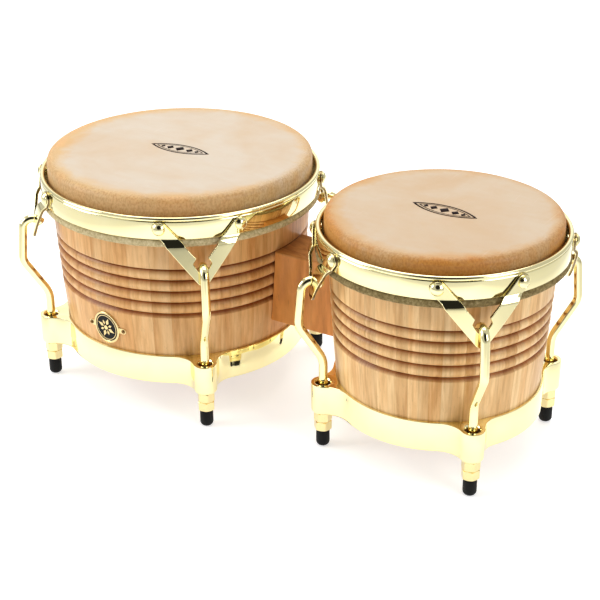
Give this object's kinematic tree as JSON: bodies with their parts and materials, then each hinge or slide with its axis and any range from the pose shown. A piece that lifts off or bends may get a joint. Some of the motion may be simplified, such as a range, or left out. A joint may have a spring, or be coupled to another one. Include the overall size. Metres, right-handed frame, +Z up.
{
  "type": "bongo drums",
  "caption": "Big and small wooden hand drums joined by a centre block, with rawhide heads held by hooked tuning rods whose nuts pull the rims down.",
  "frame": {"origin": "on the floor under the feet, at the centre of the whole pair's bounding box", "axes": "+X from the big drum towards the small drum, +Y away from the player's side that carries the badge, +Z up along the drum axes"},
  "size_m": [0.4548, 0.2314, 0.1955],
  "materials": {
    "shell_wood": "gloss lacquer over straight-grained staves",
    "block_wood": "gloss lacquer, darker than the shells",
    "big_rawhide": "pale rawhide, satin",
    "small_rawhide": "tan rawhide, satin",
    "rawhide_edge": "rough rolled edge of the rawhide",
    "gold_plate": "polished pale gold plating",
    "nut_brass": "polished",
    "plain_steel": "zinc-plated",
    "foot_rubber": "matt",
    "badge_brass": "stamped, with dark enamel in the field"
  },
  "bodies": {
    "drums": {"big_shell": "shell_wood", "big_head_skin": "big_rawhide", "big_bottom_ring": "gold_plate", "small_shell": "shell_wood", "small_head_skin": "small_rawhide", "small_bottom_ring": "gold_plate", "centre_block": "block_wood", "block_bolts": "plain_steel", "block_washers": "plain_steel", "block_nuts": "plain_steel", "badge": "badge_brass", "badge_pins": "badge_brass"},
    "big_tuning": {"big_rim": "gold_plate", "big_rim_rivets": "gold_plate", "big_head_collar": "rawhide_edge", "big_flesh_hoop": "plain_steel", "big_bracket_near_left": "gold_plate", "big_bracket_near_right": "gold_plate", "big_bracket_far_right": "gold_plate", "big_bracket_far_left": "gold_plate", "big_tuning_rod_near_left": "gold_plate", "big_tuning_rod_near_right": "gold_plate", "big_tuning_rod_far_right": "gold_plate", "big_tuning_rod_far_left": "gold_plate", "big_rubber_tip_near_left": "foot_rubber", "big_rubber_tip_near_right": "foot_rubber", "big_rubber_tip_far_right": "foot_rubber", "big_rubber_tip_far_left": "foot_rubber"},
    "big_nuts_near_left": {"big_tuning_nut_near_left": "nut_brass", "big_lock_nut_near_left": "nut_brass"},
    "big_nuts_near_right": {"big_tuning_nut_near_right": "nut_brass", "big_lock_nut_near_right": "nut_brass"},
    "big_nuts_far_right": {"big_tuning_nut_far_right": "nut_brass", "big_lock_nut_far_right": "nut_brass"},
    "big_nuts_far_left": {"big_tuning_nut_far_left": "nut_brass", "big_lock_nut_far_left": "nut_brass"},
    "small_tuning": {"small_rim": "gold_plate", "small_rim_rivets": "gold_plate", "small_head_collar": "rawhide_edge", "small_flesh_hoop": "plain_steel", "small_bracket_near_left": "gold_plate", "small_bracket_near_right": "gold_plate", "small_bracket_far_right": "gold_plate", "small_bracket_far_left": "gold_plate", "small_tuning_rod_near_left": "gold_plate", "small_tuning_rod_near_right": "gold_plate", "small_tuning_rod_far_right": "gold_plate", "small_tuning_rod_far_left": "gold_plate", "small_rubber_tip_near_left": "foot_rubber", "small_rubber_tip_near_right": "foot_rubber", "small_rubber_tip_far_right": "foot_rubber", "small_rubber_tip_far_left": "foot_rubber"},
    "small_nuts_near_left": {"small_tuning_nut_near_left": "nut_brass", "small_lock_nut_near_left": "nut_brass"},
    "small_nuts_near_right": {"small_tuning_nut_near_right": "nut_brass", "small_lock_nut_near_right": "nut_brass"},
    "small_nuts_far_right": {"small_tuning_nut_far_right": "nut_brass", "small_lock_nut_far_right": "nut_brass"},
    "small_nuts_far_left": {"small_tuning_nut_far_left": "nut_brass", "small_lock_nut_far_left": "nut_brass"}
  },
  "joints": [
    {"name": "big_rim_slide", "type": "slide", "parent": "drums", "child": "big_tuning", "axis": [0, 0, 1], "range_m": [-0.004, 0]},
    {"name": "big_nut_turn_near_left", "type": "hinge", "parent": "drums", "child": "big_nuts_near_left", "pos_m": [-0.1964, -0.07784, 0.0227], "axis": [0, 0, 1], "range_deg": [0, 1440]},
    {"name": "big_nut_turn_near_right", "type": "hinge", "parent": "drums", "child": "big_nuts_near_right", "pos_m": [-0.03391, -0.08465, 0.0227], "axis": [0, 0, 1], "range_deg": [0, 1440]},
    {"name": "big_nut_turn_far_right", "type": "hinge", "parent": "drums", "child": "big_nuts_far_right", "pos_m": [-0.0271, 0.07784, 0.0227], "axis": [0, 0, 1], "range_deg": [0, 1440]},
    {"name": "big_nut_turn_far_left", "type": "hinge", "parent": "drums", "child": "big_nuts_far_left", "pos_m": [-0.18959, 0.08465, 0.0227], "axis": [0, 0, 1], "range_deg": [0, 1440]},
    {"name": "small_rim_slide", "type": "slide", "parent": "drums", "child": "small_tuning", "axis": [0, 0, 1], "range_m": [-0.004, 0]},
    {"name": "small_nut_turn_near_left", "type": "hinge", "parent": "drums", "child": "small_nuts_near_left", "pos_m": [0.06216, -0.06261, 0.0227], "axis": [0, 0, 1], "range_deg": [0, 1440]},
    {"name": "small_nut_turn_near_right", "type": "hinge", "parent": "drums", "child": "small_nuts_near_right", "pos_m": [0.19286, -0.06809, 0.0227], "axis": [0, 0, 1], "range_deg": [0, 1440]},
    {"name": "small_nut_turn_far_right", "type": "hinge", "parent": "drums", "child": "small_nuts_far_right", "pos_m": [0.19834, 0.06261, 0.0227], "axis": [0, 0, 1], "range_deg": [0, 1440]},
    {"name": "small_nut_turn_far_left", "type": "hinge", "parent": "drums", "child": "small_nuts_far_left", "pos_m": [0.06764, 0.06809, 0.0227], "axis": [0, 0, 1], "range_deg": [0, 1440]}
  ],
  "couplings": [
    {"joint": "big_nut_turn_near_left", "follows": "big_rim_slide", "rad_per_m": -6283.2},
    {"joint": "big_nut_turn_near_right", "follows": "big_rim_slide", "rad_per_m": -6283.2},
    {"joint": "big_nut_turn_far_right", "follows": "big_rim_slide", "rad_per_m": -6283.2},
    {"joint": "big_nut_turn_far_left", "follows": "big_rim_slide", "rad_per_m": -6283.2},
    {"joint": "small_nut_turn_near_left", "follows": "small_rim_slide", "rad_per_m": -6283.2},
    {"joint": "small_nut_turn_near_right", "follows": "small_rim_slide", "rad_per_m": -6283.2},
    {"joint": "small_nut_turn_far_right", "follows": "small_rim_slide", "rad_per_m": -6283.2},
    {"joint": "small_nut_turn_far_left", "follows": "small_rim_slide", "rad_per_m": -6283.2}
  ]
}
